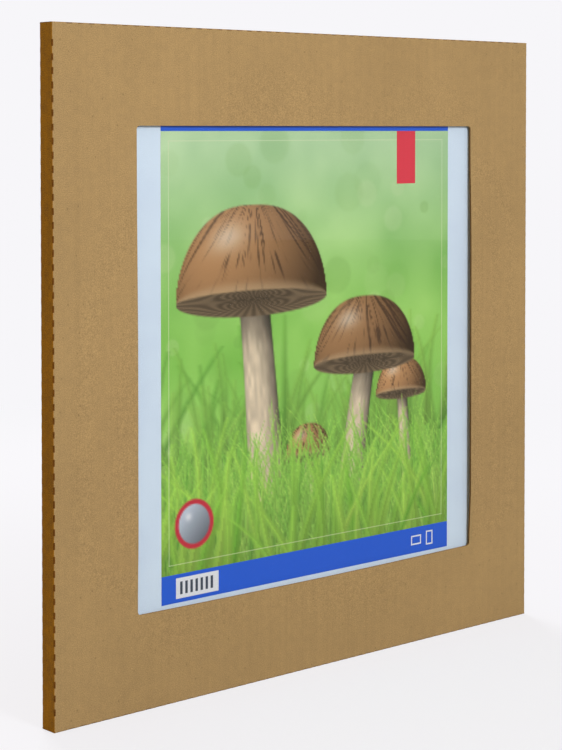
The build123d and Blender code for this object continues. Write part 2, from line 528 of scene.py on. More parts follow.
def thickened(mesh, materials, thickness, offset, slot=0, back_slot=0, rim_slot=0):
    """A closed slab from an open sheet, with its own material slots on its back and its rim."""
    dress_mesh(mesh, materials, slot)
    carrier = new_object("slab", mesh)
    slab = carrier.modifiers.new("Thickness", "SOLIDIFY")
    slab.thickness = thickness
    slab.offset = offset
    slab.use_even_offset = True
    slab.material_offset = back_slot
    slab.material_offset_rim = rim_slot
    return plain_mesh(carrier)


def joined(meshes, name, matrix, smooth_angle=40):
    """One mesh from several, moved to its place, smooth apart from its sharp edges."""
    whole = bmesh.new()
    for mesh in meshes:
        whole.from_mesh(mesh)
    mesh = written(whole, bpy.data.meshes.new(name))
    for material in meshes[0].materials:
        mesh.materials.append(material)
    mesh.transform(matrix)
    if matrix.determinant() < 0:
        mesh.flip_normals()
    mesh.shade_smooth()
    mesh.set_sharp_from_angle(angle=math.radians(smooth_angle))
    return mesh


def trimmed(mesh, cuts):
    """A sheet cut back to the inner side of each cut, given as a point and its outward normal."""
    sheet = bmesh.new()
    sheet.from_mesh(mesh)
    for point, normal in cuts:
        geometry = sheet.verts[:] + sheet.edges[:] + sheet.faces[:]
        bmesh.ops.bisect_plane(
            sheet, geom=geometry, plane_co=point, plane_no=normal, clear_outer=True, dist=1e-7
        )
    return written(sheet, mesh)


def lines_between(stops, step):
    """Grid lines at every stop, and evenly between stops about a step apart."""
    lines = [stops[0]]
    for low, high in zip(stops, stops[1:]):
        count = max(1, round((high - low) / step))
        lines += [low + (high - low) * i / count for i in range(1, count + 1)]
    return np.array(lines)


def cells_between(lines, low, high):
    """Whether each cell between neighbouring grid lines lies between two places."""
    middles = (lines[1:] + lines[:-1]) / 2
    return (middles > low) & (middles < high)


def basis(origin, first, second, third):
    """A matrix that takes local axes to three directions from an origin."""
    matrix = Matrix((first, second, third)).transposed().to_4x4()
    matrix.translation = origin
    return matrix


def edge_point(side, y):
    """The middle of one outer edge of the carton, at depth y."""
    return Vector((0, y, MIDDLE)) - SIDES[side][0] * HALF


# Geometry Nodes

def new_tree(name, sockets):
    """The wiring of a new geometry tree, and its inputs, which are named with their types."""
    tree = bpy.data.node_groups.new(name, "GeometryNodeTree")
    for socket, kind in sockets.items():
        tree.interface.new_socket(name=socket, in_out="INPUT", socket_type="NodeSocket" + kind)
    tree.interface.new_socket(name="Geometry", in_out="OUTPUT", socket_type="NodeSocketGeometry")
    wiring = Wiring(tree)
    return wiring, wiring.add("NodeGroupInput")


def finish_tree(wiring, geometry, material):
    """Ends a tree with real geometry in its material."""
    real = wiring.add("GeometryNodeRealizeInstances", {"Geometry": geometry})[0]
    dressed = wiring.add("GeometryNodeSetMaterial", {"Geometry": real, "Material": material})[0]
    wiring.add("NodeGroupOutput", {"Geometry": dressed})
    return wiring.tree


def flute_tree(name):
    """A fluted paper: a grid whose height follows a sine across its width."""
    wiring, inputs = new_tree(name, {
        "Width": "Float", "Length": "Float", "Pitch": "Float", "Rise": "Float",
        "Columns": "Int", "Rows": "Int", "Material": "Material",
    })
    grid = wiring.add("GeometryNodeMeshGrid", {
        "Size X": inputs["Width"], "Size Y": inputs["Length"],
        "Vertices X": inputs["Columns"], "Vertices Y": inputs["Rows"],
    })["Mesh"]
    across = wiring.split(wiring.add("GeometryNodeInputPosition")[0])["X"]
    turns = wiring.math("DIVIDE", across, inputs["Pitch"])
    wave = wiring.math("SINE", wiring.math("MULTIPLY", turns, 2 * math.pi))
    lift = wiring.vector(z=wiring.math("MULTIPLY", wave, inputs["Rise"]))
    raised = wiring.add("GeometryNodeSetPosition", {"Geometry": grid, "Offset": lift})[0]
    return finish_tree(wiring, raised, inputs["Material"])


def bridge_tree(name):
    """A row of paper bridges along a crease, each a little different in size."""
    wiring, inputs = new_tree(name, {
        "Bridge": "Object", "Count": "Int", "Pitch": "Float", "Variation": "Float", "Seed": "Int",
        "Material": "Material",
    })
    gaps = wiring.math("SUBTRACT", inputs["Count"], 1)
    start = wiring.math("MULTIPLY", wiring.math("MULTIPLY", gaps, inputs["Pitch"]), -0.5)
    row = wiring.add("GeometryNodeMeshLine", {
        "Count": inputs["Count"], "Start Location": wiring.vector(x=start),
        "Offset": wiring.vector(x=inputs["Pitch"]),
    })["Mesh"]
    bridge = wiring.add("GeometryNodeObjectInfo", {"Object": inputs["Bridge"]})["Geometry"]
    small = wiring.math("SUBTRACT", 1.0, inputs["Variation"])
    large = wiring.math("ADD", 1.0, inputs["Variation"])
    feeds = {2: small, 3: large, "Seed": inputs["Seed"]}
    size = wiring.add("FunctionNodeRandomValue", feeds, data_type="FLOAT")[1]
    spread = wiring.add("GeometryNodeInstanceOnPoints", {
        "Points": row, "Instance": bridge, "Scale": wiring.vector(x=size, y=1, z=1),
    })[0]
    return finish_tree(wiring, spread, inputs["Material"])


def grown(tree, values):
    """The plain mesh that a geometry tree makes from the given inputs."""
    carrier = new_object(tree.name, bpy.data.meshes.new(tree.name))
    modifier = carrier.modifiers.new(tree.name, "NODES")
    modifier.node_group = tree
    for item in tree.interface.items_tree:
        if item.in_out == "INPUT":
            modifier[item.identifier] = values[item.name]
    return plain_mesh(carrier)


def shared(make, name, *values):
    """A material or tree that is made once and then found again by its name."""
    made = bpy.data.materials.get(name) or bpy.data.node_groups.get(name)
    return made or make(name, *values)


# Corrugated board

def flutes_across(side):
    """The axis that the flutes of a narrow wall lie across."""
    return "Y" if side in UPRIGHT_SIDES else "X"


def paper(face, across):
    """One of the carton's papers, named as its colour, over flutes that lie across an axis."""
    contrast, mottling = (0.8, 0.45) if face == "wall_kraft" else (0.42, 0.25)
    tone = getattr(settings("carton"), face)
    return shared(kraft_finish, f"{face}_{across.lower()}", tone, across, contrast, mottling)


def board_materials(face, across):
    """Slots of a board: outer paper, cut edges and flutes, inner paper."""
    cut = shared(cut_finish, "cut_kraft", settings("carton").cut_kraft)
    return [paper(face, across), cut, paper("inner_kraft", across)]


def liner_slab(points, depth, materials, bend, kept=None, rounding=None):
    """One outer paper of a board at the given depth, bent by a function of its place."""
    placed = np.dstack((points[..., 0], points[..., 1], np.full(points.shape[:2], depth)))
    mesh = sheet_mesh(placed, kept)
    if rounding:
        rounding(mesh, depth)
    bend_mesh(mesh, bend)
    liner = settings("carton").liner
    return thickened(mesh, materials, liner, -1, OUTER, back_slot=INNER, rim_slot=CUT)


def flute_slab(centre, size, flutes_along_second, materials, bend, cuts=()):
    """The fluted paper of a board over a rectangle, cut to the board's outline and bent with it."""
    carton = settings("carton")
    steps_per_flute = 6
    bend_step = 15 * MM
    across, lengthways = size if flutes_along_second else size[::-1]
    mesh = grown(shared(flute_tree, "fluted_medium"), {
        "Width": across, "Length": lengthways, "Pitch": carton.flute_pitch,
        "Rise": (BOARD - 2 * carton.liner - carton.medium) / 2,
        "Columns": round(across / carton.flute_pitch * steps_per_flute) + 1,
        "Rows": max(2, round(lengthways / bend_step) + 1), "Material": materials[CUT],
    })
    if not flutes_along_second:
        mesh.transform(Matrix(((0, 1, 0, 0), (1, 0, 0, 0), (0, 0, 1, 0), (0, 0, 0, 1))))
    mesh.transform(Matrix.Translation((centre[0], centre[1], BOARD / 2)))
    trimmed(mesh, cuts)
    bend_mesh(mesh, bend)
    return thickened(mesh, materials, carton.medium, 0, CUT)


def bend_mesh(mesh, bend):
    """Moves a sheet up the board and through it, by a function of its place on the board."""
    points = np.empty(3 * len(mesh.vertices))
    mesh.vertices.foreach_get("co", points)
    points = points.reshape(-1, 3)
    rise, depth = bend(points[:, 0], points[:, 1])
    points[:, 1] += rise
    points[:, 2] += depth
    mesh.vertices.foreach_set("co", points.ravel())


def smooth_step(low, high, values):
    """0 below low, 1 above high, and smooth between them."""
    share = np.clip((values - low) / (high - low), 0, 1)
    return share * share * (3 - 2 * share)


def plateau(values, start, full, fading, end):
    """0 up to the start, 1 from full to fading, 0 from the end on, and smooth between them."""
    return smooth_step(start, full, values) * (1 - smooth_step(fading, end, values))


def arch(values, half):
    """1 in the middle, falling along a cosine to 0 at half to either side."""
    return np.cos(np.clip(values / half, -1, 1) * math.pi / 2)


def window_edges():
    """The window's low and high edges from the middle of the panel, across it and up it."""
    carton = settings("carton")
    across = (carton.window_left - HALF, HALF - carton.window_right)
    upward = (carton.window_bottom - HALF, HALF - carton.window_top)
    return across, upward


def panel_bend(s, t):
    """The front panel's bow, most at the right of the window, and the sag below the window."""
    carton = settings("carton")
    window = window_edges()[0][1]
    # Where the bow starts, is full, fades and ends: from the middle, and by share of the way down
    beside = (0.35 * window, window, window, HALF)
    right_run, left_run = (0.03, 0.32, 0.86, 1.0), (0.05, 0.5, 0.8, 1.0)
    down = (window - t) / (2 * window)
    right = plateau(s, *beside) * plateau(down, *right_run)
    left = plateau(-s, *beside) * plateau(down, *left_run)
    ends = plateau(abs(t), *beside) * arch(s, HALF)
    left_share, end_share, ripple_share = 0.65, 0.18, 0.06
    ripple_s, ripple_t = 31 * MM, 43 * MM
    ripple = ripple_share * carton.bow * np.sin(s / ripple_s) * np.sin(t / ripple_t)
    rim = 0.8 * HALF
    flat_rim = (1 - smooth_step(rim, HALF, abs(s))) * (1 - smooth_step(rim, HALF, abs(t)))
    depth = -carton.bow * (right + left_share * left + end_share * ends) - ripple * flat_rim
    below = np.where(t < 0, smooth_step(-HALF, -window, t), 0)
    return -carton.sag * below * arch(s, window), depth


def flap_bend(s, t):
    """A back flap's bend: its free edge stands a little proud in the middle."""
    proud = 0.5 * MM
    share = np.clip(t / FLAP_DEPTH, 0, 1)
    return 0, -proud * share ** 2 * arch(s, HALF)


def wall_bend(s, _):
    """A narrow wall's bend: a faint long wave that only sinks in."""
    depth, reach = 0.12 * MM, 47 * MM
    sunk = 0.5 + 0.5 * np.sin(s / reach)
    return 0, depth * sunk * arch(s, HALF)


def round_window(mesh, depth):
    """Fills the window's four square corners out to their round cut."""
    radius = settings("carton").window_radius
    across, upward = window_edges()
    steps = 8
    sheet = bmesh.new()
    sheet.from_mesh(mesh)
    for way_s, edge_s in zip((-1, 1), across):
        for way_t, edge_t in zip((-1, 1), upward):
            corner = sheet.verts.new((edge_s, edge_t, depth))
            arc = []
            for step in range(steps + 1):
                angle = math.pi / 2 * step / steps
                s = edge_s - way_s * radius * (1 - math.cos(angle))
                t = edge_t - way_t * radius * (1 - math.sin(angle))
                arc.append(sheet.verts.new((s, t, depth)))
            for first, second in zip(arc, arc[1:]):
                fan = (corner, second, first) if way_s * way_t > 0 else (corner, first, second)
                sheet.faces.new(fan)
    bmesh.ops.remove_doubles(sheet, verts=sheet.verts[:], dist=0.01 * MM)
    for face in sheet.faces:
        face.normal_update()
        if face.normal.z > 0:
            face.normal_flip()
    written(sheet, mesh)


def panel_lines(reach, edges):
    """Grid lines over the front panel, with stops at the window and its round corners."""
    low, high = edges
    radius = settings("carton").window_radius
    step = 6 * MM
    return lines_between([-reach, low, low + radius, high - radius, high, reach], step)


def front_panel_mesh():
    """The front panel: two papers round the window, and the flutes between them."""
    carton = settings("carton")
    materials = board_materials("face_kraft", "X")
    window = window_edges()
    layers = ((0.0, HALF - carton.fold_radius), (BOARD - carton.liner, HALF - END_SETBACK))
    slabs = []
    for depth, reach in layers:
        lines = [panel_lines(reach, edges) for edges in window]
        points = np.stack(np.meshgrid(*lines), axis=-1)
        across, upward = [cells_between(line, *edges) for line, edges in zip(lines, window)]
        kept = ~(upward[:, None] & across[None, :])
        slabs.append(liner_slab(points, depth, materials, panel_bend, kept, round_window))
    reach = HALF - FLUTE_SETBACK
    left, right = window[0][0] - CUT_SETBACK, window[0][1] + CUT_SETBACK
    bottom, top = window[1][0] - CUT_SETBACK, window[1][1] + CUT_SETBACK
    strips = (
        (-reach, left, -reach, reach), (right, reach, -reach, reach),
        (left, right, -reach, bottom), (left, right, top, reach),
    )
    for low_s, high_s, low_t, high_t in strips:
        centre = ((low_s + high_s) / 2, (low_t + high_t) / 2)
        size = (high_s - low_s, high_t - low_t)
        slabs.append(flute_slab(centre, size, True, materials, panel_bend))
    matrix = basis(Vector((0, FRONT, MIDDLE)), (1, 0, 0), (0, 0, 1), (0, 1, 0))
    return joined(slabs, "carton_front", matrix)


def wall_mesh(side):
    """A narrow wall: two papers and the flutes between them, mitred at the folds."""
    carton = settings("carton")
    inward, along = SIDES[side]
    end_gap, flute_end = 0.35 * MM, 0.8 * BOARD
    step, width_step = 10 * MM, 4 * MM
    # The walls take the darker kraft that carries their painted shade
    materials = board_materials("wall_kraft", flutes_across(side))
    half_depth = (BACK - FRONT) / 2
    layers = (
        (0.0, HALF - end_gap, half_depth - carton.fold_radius),
        (BOARD - carton.liner, HALF - END_SETBACK, half_depth - FOLD_SETBACK),
    )
    slabs = []
    for depth, half_length, half_width in layers:
        s = lines_between([-half_length, half_length], step)
        t = lines_between([-half_width, half_width], width_step)
        points = np.stack(np.meshgrid(s, t), axis=-1)
        slabs.append(liner_slab(points, depth, materials, wall_bend))
    size = (CARTON - 2 * flute_end, 2 * half_depth - 2 * BOARD)
    slabs.append(flute_slab((0, 0), size, side not in UPRIGHT_SIDES, materials, wall_bend))
    matrix = basis(edge_point(side, (FRONT + BACK) / 2), along, (0, 1, 0), inward)
    return joined(slabs, f"{side}_wall_board", matrix)


def flap_slant(t):
    """Half the length of a flap between its slanted ends, at a distance from its crease."""
    return HALF - settings("carton").flap_relief - t


def flap_corner_centre():
    """The centre of a flap's round corner, along the flap and away from its crease."""
    radius = settings("carton").flap_corner
    tangent = radius * math.tan(math.pi / 8)
    return flap_slant(FLAP_DEPTH) - tangent, FLAP_DEPTH - radius


def flap_half_length(t):
    """Half the length of a flap at a distance from its crease, with its round free corners."""
    radius = settings("carton").flap_corner
    centre_s, centre_t = flap_corner_centre()
    reach = np.sqrt(np.clip(radius**2 - np.clip(t - centre_t, 0, None) ** 2, 0, None))
    on_arc = t > centre_t + radius * math.sqrt(0.5)
    return np.where(on_arc, centre_s + reach, flap_slant(t))


def flap_cuts(recess):
    """Cuts that bring the fluted paper of a flap inside its slanted ends and round corners."""
    slant = flap_slant(recess * math.sqrt(2))
    centre_s, centre_t = flap_corner_centre()
    # Two flat cuts follow each round corner, which turns from 45 to 90 degrees
    corner_angles = (math.radians(56), math.radians(79))
    reach = settings("carton").flap_corner * math.cos(math.pi / 16) - recess
    cuts = []
    for way in (-1, 1):
        cuts.append(((way * slant, 0, 0), (way, 1, 0)))
        for angle in corner_angles:
            outward = Vector((way * math.cos(angle), math.sin(angle), 0))
            cuts.append((Vector((way * centre_s, centre_t, 0)) + outward * reach, outward))
    return cuts


def flap_mesh(side):
    """A back flap: two papers with slanted ends and round corners, and the flutes between them."""
    carton = settings("carton")
    inward, along = SIDES[side]
    step, columns, arc_steps = 6 * MM, 60, 6
    materials = board_materials("face_kraft", "X")
    share = np.linspace(-1, 1, columns + 1)
    corner = FLAP_DEPTH - carton.flap_corner * (1 - math.sqrt(0.5))
    turn = np.linspace(math.pi / 4, math.pi / 2, arc_steps + 1)[1:]
    arc = FLAP_DEPTH - carton.flap_corner * (1 - np.sin(turn))
    slabs = []
    for depth, crease in ((0.0, carton.fold_radius), (BOARD - carton.liner, FOLD_SETBACK)):
        t = np.concatenate((lines_between([crease, corner], step), arc))
        points = np.stack((flap_half_length(t)[:, None] * share, t[:, None] + 0 * share), axis=-1)
        slabs.append(liner_slab(points, depth, materials, flap_bend))
    far = FLAP_DEPTH - CUT_SETBACK
    size = (CARTON, far - FLUTE_SETBACK)
    middle = (0, (FLUTE_SETBACK + far) / 2)
    across = side not in UPRIGHT_SIDES
    slabs.append(flute_slab(middle, size, across, materials, flap_bend, flap_cuts(CUT_SETBACK)))
    matrix = basis(edge_point(side, BACK), along, inward, (0, -1, 0))
    return joined(slabs, f"{side}_flap_board", matrix)


# Creases

FOLD_POINTS = 9


def shell_between(outer, inner):
    """A closed mesh from two grids of points that lie over each other."""
    quads, rim = grid_faces(*outer.shape[:2])
    quads = quads.reshape(-1, 4)[:, [0, 3, 2, 1]]
    after = np.roll(rim, -1)
    points = np.concatenate((outer.reshape(-1, 3), inner.reshape(-1, 3)))
    shift = len(points) // 2
    sides = np.stack((rim, rim + shift, after + shift, after), axis=-1)
    faces = np.concatenate((quads, quads[:, ::-1] + shift, sides))
    return new_mesh("shell", points, faces.tolist())


def fold_strip(along, outer, inner):
    """A closed strip round a fold, from its outer and inner reach by turn and place along it."""
    radius = settings("carton").fold_radius
    turn = np.linspace(0, math.pi / 2, FOLD_POINTS)[:, None]
    shells = []
    for reach in (outer, inner):
        inward = radius - reach * np.sin(turn)
        onward = radius - reach * np.cos(turn)
        shells.append(np.dstack((along + 0 * reach, inward, onward)))
    return shell_between(*shells)


def bridge_mesh(span):
    """A bridge of paper round a fold, a little swollen in the middle and drawn in at its ends."""
    radius = settings("carton").fold_radius
    crushed, swell, drawn = 0.55 * MM, 0.02 * MM, 0.08 * MM
    turn = np.linspace(0, math.pi / 2, FOLD_POINTS)[:, None]
    along = np.linspace(-1, 1, FOLD_POINTS)
    crown = np.sin(2 * turn) * (swell - (swell + drawn) * abs(along) ** 5)
    return fold_strip(span / 2 * along, radius + crown, radius - crushed + 0 * crown)


def core_mesh(span):
    """The crushed inner layers of a crease, which show in its slits in a brown darkened with
    painted shade.
    """
    recess, thickness = 0.09 * MM, 0.45 * MM
    reach = np.full((FOLD_POINTS, 2), settings("carton").fold_radius - recess)
    return fold_strip(span / 2 * np.array((-1, 1)), reach, reach - thickness)


def dress_bridges(mesh):
    """Gives a bridge the face's paper on one half, the wall's on the other and its own inside."""
    radius = settings("carton").fold_radius
    inner_reach = 0.6 * radius
    for face in mesh.polygons:
        inside = math.hypot(face.center.y - radius, face.center.z - radius) < inner_reach
        outside = FACE if face.center.y > face.center.z else WALL
        face.material_index = INSIDE if inside else outside


def crease_mesh(side, rear, seed):
    """One crease: a row of bridges between the slits, a longer one at each end, and the core."""
    carton = settings("carton")
    inward, along = SIDES[side]
    pitch, gap = carton.slit_pitch, carton.slit_length
    variation, end_gap = 0.07, 0.2 * MM
    # The slits show crushed pulp in a brown darkened with painted shade
    slit = "slit_kraft" if side in UPRIGHT_SIDES else "level_slit_kraft"
    # The wall half of each bridge takes the walls' kraft, darkened with painted shade
    materials = (
        paper("face_kraft", "X"), paper("wall_kraft", flutes_across(side)),
        shared(cut_finish, slit, getattr(carton, slit)), paper("inner_kraft", "X"),
    )
    # An odd number of slits, so that one lies in the middle
    slits = int((CARTON - pitch) / pitch)
    slits -= 1 - slits % 2
    tooth = new_object("bridge", bridge_mesh(pitch - gap))
    row = grown(shared(bridge_tree, "crease_bridges"), {
        "Bridge": tooth, "Count": slits - 1, "Pitch": pitch, "Variation": variation,
        "Seed": seed, "Material": materials[FACE],
    })
    bpy.data.objects.remove(tooth)
    first = (slits - 1) * pitch / 2 + gap / 2
    last = HALF - end_gap
    meshes = [row]
    for way in (-1, 1):
        end = bridge_mesh(last - first)
        end.transform(Matrix.Translation((way * (first + last) / 2, 0, 0)))
        meshes.append(end)
    dress_mesh(row, materials)
    for mesh in meshes:
        dress_bridges(mesh)
    core = core_mesh(2 * last)
    dress_mesh(core, (), SLIT)
    onward = Vector((0, -1 if rear else 1, 0))
    matrix = basis(edge_point(side, BACK if rear else FRONT), along, inward, onward)
    return joined(meshes + [core], "crease", matrix, smooth_angle=60)


# Picture of the printed insert, in display colours and in millimetres

INKS = ("band_blue", "tab_red", "sky_green", "leaf_green", "grass_green", "cap_brown")
PALE_LIGHT = np.array((226, 240, 190))
STEM_CREAM = np.array((226, 208, 178))
GILL_BROWN = np.array((176, 150, 116))
STREAK_BROWN = np.array((58, 42, 32))
RIM_CREAM = np.array((216, 190, 150))
SHINE_CREAM = np.array((250, 244, 228))
DISC_GREY = np.array((206, 218, 232))
GLINT_WHITE = np.array((250, 251, 253))
BORDER_PALE = np.array((226, 236, 196))
FIELD_WHITE = np.array((240, 243, 248))
BAR_GREY = np.array((70, 78, 96))

# Mushrooms from the back to the front: foot and head of the stem, half width and height of the
# cap, shade of its brown, and seed of its streaks
MUSHROOMS = (
    ((262, 60), (256, 138), 30, 30, 1.1, 3),
    ((106, 46), (92, 226), 78, 74, 1.0, 21),
    ((196, 40), (214, 168), 58, 54, 0.92, 35),
    ((154, 36), (150, 96), 25, 27, 1.05, 52),
)


def lay_over(colours, tone, cover):
    """Lays a tone over an array of colours, by a cover from 0 to 1."""
    colours += (tone - colours) * cover[..., None]


class Canvas:
    """A picture on a grid that is measured from the sheet's lower left corner."""

    def __init__(self, columns, rows):
        self.columns = columns
        self.rows = rows
        self.x, self.z = np.meshgrid(columns, rows)
        self.colour = np.zeros(self.x.shape + (3,))

    def part(self, low_x, high_x, low_z, high_z):
        """The slice of the grid that covers a rectangle."""
        across = slice(*np.searchsorted(self.columns, (low_x, high_x)))
        up = slice(*np.searchsorted(self.rows, (low_z, high_z)))
        return up, across

    def lay(self, tone, cover, part=(slice(None), slice(None))):
        """Lays a tone over the picture or a part of it."""
        lay_over(self.colour[part], tone, cover)


def soft_edge(inside, soft):
    """Cover of a shape with a soft edge, from how far inside its edge each place lies."""
    return np.clip(inside / soft + 0.5, 0, 1)


def soft_noise(x, z, size, seed):
    """Smooth random values from -1 to 1 with features of about the given size."""
    cells = 97
    lattice = np.random.default_rng(seed).uniform(-1, 1, (cells, cells))
    u, v = x / size, z / size
    i, j = np.floor(u).astype(int), np.floor(v).astype(int)
    a, b = smooth_step(0, 1, u - i), smooth_step(0, 1, v - j)
    left, right = i % cells, (i + 1) % cells
    below, above = j % cells, (j + 1) % cells
    low = lattice[left, below] * (1 - a) + lattice[right, below] * a
    high = lattice[left, above] * (1 - a) + lattice[right, above] * a
    return low * (1 - b) + high * b


def paint_background(canvas, inks, draws):
    """Soft meadow light: a gradient, clouds of leaf and round blurs."""
    horizon = 0.45
    share = (canvas.z / canvas.rows[-1])[..., None]
    low = smooth_step(0.0, horizon, share)
    high = smooth_step(horizon, 1.0, share)
    ground, leaf = inks["grass_green"] * 0.9, inks["leaf_green"]
    canvas.colour = ground * (1 - low) + leaf * low * (1 - high) + inks["sky_green"] * high
    aside = 300
    cloud_tint = np.array((1.0, 0.75, 0.8))
    for size, strength in ((70, 15), (34, 11), (15, 5)):
        cloud = soft_noise(canvas.x + aside, canvas.z + aside, size, seed=size)
        canvas.colour += strength * cloud[..., None] * cloud_tint
    blurs, lowest, radii, covers, core, pale_share = 70, 90, (5, 19), (0.04, 0.2), 0.72, 0.6
    for _ in range(blurs):
        x = draws.uniform(0, canvas.columns[-1])
        z = draws.uniform(lowest, canvas.rows[-1])
        radius = draws.uniform(*radii)
        away = np.hypot(canvas.x - x, canvas.z - z)
        cover = draws.uniform(*covers) * (1 - smooth_step(radius * core, radius, away))
        tone = PALE_LIGHT if draws.random() < pale_share else leaf * 0.78
        canvas.lay(tone, cover)


def paint_blade(canvas, draws, foot, height, width, soft, tone):
    """One curved blade of grass, darker at its foot, with one half in shade."""
    x, z = foot
    lean_spread, curl_spread, taper = 0.22, 0.28, 0.7
    lean = draws.normal(0, lean_spread) * height
    curl = draws.normal(0, curl_spread) * height
    margin = abs(lean) + abs(curl) + 2 * width + soft
    part = canvas.part(x - margin, x + margin, z, z + height)
    share = np.clip((canvas.z[part] - z) / height, 0, 1)
    away = canvas.x[part] - (x + lean * share + curl * share**2)
    half = width * (1 - share) ** taper
    foot_light, tip_gain, half_shade = 0.8, 0.27, 0.1
    light = foot_light + tip_gain * share - half_shade * (away > 0)
    tone = np.clip(tone * light[..., None], 0, 255)
    canvas.lay(tone, soft_edge(half - abs(away), soft), part)


def paint_grass(canvas, inks, draws, count, feet, heights, widths, soft, tint=(0, 0, 0)):
    """A layer of grass whose feet lie between two heights."""
    margin = 10
    mood_tint = np.array((16, 11, 8))
    for _ in range(count):
        foot = (draws.uniform(-margin, canvas.columns[-1] + margin), draws.uniform(*feet))
        mood = draws.normal(0, 1)
        tone = inks["grass_green"] + tint + mood * mood_tint
        height = draws.uniform(*heights)
        width = draws.uniform(*widths)
        paint_blade(canvas, draws, foot, height, width, soft, tone)


def paint_stem(canvas, foot, head, width, seed):
    """A pale stem, round in its shading, streaked along and dark under the cap."""
    soft, spread, side_shade = 1.4, 0.4, 0.22
    share = np.clip((canvas.z - foot[1]) / (head[1] - foot[1]), 0, 1)
    away = canvas.x - (foot[0] + (head[0] - foot[0]) * share**1.5)
    half = width * (1 + spread * (1 - share) ** 2)
    across = away / half
    cover = soft_edge(half - abs(away), soft) * (canvas.z >= foot[1]) * (canvas.z <= head[1])
    round_light = 0.5 + 0.5 * np.sqrt(np.clip(1 - across**2, 0, 1)) - side_shade * across
    streaks = 1 + 0.1 * soft_noise(across * 6 + 40, canvas.z / 9, 1, seed)
    shadow = 1 - 0.5 * smooth_step(0.7, 1.0, share)
    canvas.lay(STEM_CREAM * (round_light * streaks * shadow)[..., None], cover)


def paint_cap(canvas, head, half, height, tone, seed):
    """A domed cap seen from a little below: gills in shade, streaked skin and a soft shine."""
    rim = 0.17 * half
    u = (canvas.x - head[0]) / half
    chord = np.sqrt(np.clip(1 - u**2, 0, 1))
    rise = canvas.z - head[1]
    within = abs(u) < 1
    # Gills
    gills, gill_soft = 46, 1.3
    angle = np.arctan2(rise / rim, u)
    gill_light = 0.5 + 0.1 * np.cos(angle * gills) + 0.16 * np.hypot(u, rise / rim)
    under = soft_edge(rim * chord - abs(rise), gill_soft) * within
    canvas.lay(GILL_BROWN * gill_light[..., None], under)
    # Dome, with v from its rim to its top
    skin_soft, fullness, flatness = 1.4, 2.5, 0.55
    low = rim * chord * 0.55
    top = height * np.clip(1 - abs(u) ** fullness, 0, 1) ** flatness
    v = np.clip((rise - low) / np.maximum(top - low, 0.1), 0, 1)
    cover = soft_edge(np.minimum(rise - low, top - rise), skin_soft) * within
    # Light from the upper left
    from_right, from_above, from_front, shade, gain = -0.42, 0.56, 0.62, 0.42, 0.78
    facing = np.sqrt(np.clip(1 - u**2 - (v * chord) ** 2 * 0.9, 0, 1))
    light = np.clip(from_right * u + from_above * v * chord + from_front * facing, 0, 1.2)
    skin = tone * (shade + gain * light)[..., None]
    # Dark streaks that fan out from above the top, a pale rim and a shine
    fan = np.arctan2(u, 1.25 - v)
    streak = 0
    for layer, (round_cap, up_cap, weight) in enumerate(((26, 3, 1), (60, 5, 0.6))):
        noise = soft_noise(fan * round_cap + 60, v * up_cap + 20, 1, seed + layer)
        streak = streak + weight * noise
    dark = smooth_step(0.15, 0.95, streak + 0.75 * (v - 0.45))
    lay_over(skin, STREAK_BROWN, 0.62 * dark)
    lay_over(skin, RIM_CREAM, (1 - smooth_step(0.0, 0.16, v)) * 0.5)
    shine = np.exp(-((u + 0.34) ** 2) / 0.05 - (v - 0.66) ** 2 / 0.03)
    lay_over(skin, SHINE_CREAM, 0.5 * shine)
    canvas.lay(np.clip(skin, 0, 255), cover)


def paint_mushroom(canvas, inks, foot, head, half, height, shade, seed):
    """A stem and its cap."""
    overlap = 2
    paint_stem(canvas, foot, (head[0], head[1] + overlap), 0.2 * half, seed)
    paint_cap(canvas, head, half, height, inks["cap_brown"] * shade, seed + 7)


def paint_badge(canvas, inks, centre, radius):
    """A plain round badge: a red ring round a shaded pale disc with a soft glint."""
    soft = 1.1
    disc = 0.8 * radius
    across = canvas.x - centre[0]
    up = canvas.z - centre[1]
    away = np.hypot(across, up)
    canvas.lay(inks["tab_red"] * 0.9, soft_edge(radius - away, soft))
    shade = np.clip(0.78 + 0.2 * (up - across) / radius, 0, 1)
    canvas.lay(DISC_GREY * shade[..., None], soft_edge(disc - away, soft))
    glint_x, glint_z, glint_size = -0.3 * radius, 0.32 * radius, 0.16 * radius
    glint = np.exp(-((across - glint_x) ** 2 + (up - glint_z) ** 2) / glint_size**2)
    canvas.lay(GLINT_WHITE, 0.8 * glint)


def print_lines(size, step, fields, axis):
    """Grid lines over a sheet, with the edges of every field on a line."""
    edges = [edge for field in fields for edge in field[axis:4:2]]
    return lines_between(sorted({0.0, size, *[edge for edge in edges if 0 < edge < size]}), step)


